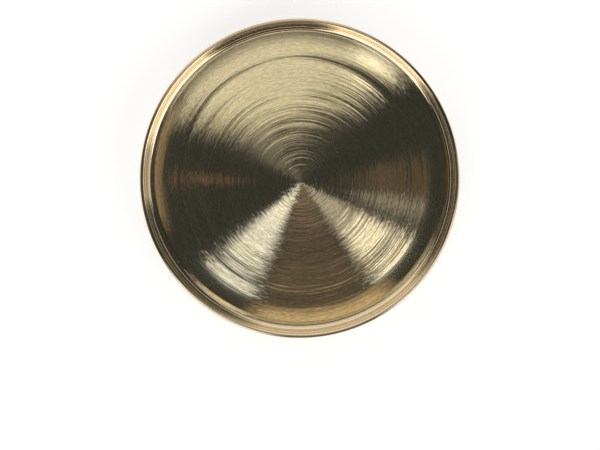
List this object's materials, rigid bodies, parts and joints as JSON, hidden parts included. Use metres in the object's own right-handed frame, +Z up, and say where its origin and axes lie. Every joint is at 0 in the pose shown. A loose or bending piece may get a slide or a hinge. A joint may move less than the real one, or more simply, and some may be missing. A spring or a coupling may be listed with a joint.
{
  "type": "candle plate",
  "caption": "Round brushed brass candle plate with a low upright wall, a rounded bead along the rim and a slightly domed base, standing on small rubber feet.",
  "frame": {"origin": "on the table top, under the middle of the plate, at the lowest point of the rubber feet", "axes": "+Z up along the plate's axis, -Y towards the front of the low pictured view, +X to its right"},
  "size_m": [0.16, 0.16, 0.017],
  "materials": {
    "brushed_brass": "brushed in circles and lacquered",
    "foot_rubber": "matt moulded rubber"
  },
  "bodies": {
    "root": {"plate": "brushed_brass", "rubber_foot_front_right": "foot_rubber", "rubber_foot_back_right": "foot_rubber", "rubber_foot_back_left": "foot_rubber", "rubber_foot_front_left": "foot_rubber"}
  },
  "joints": []
}
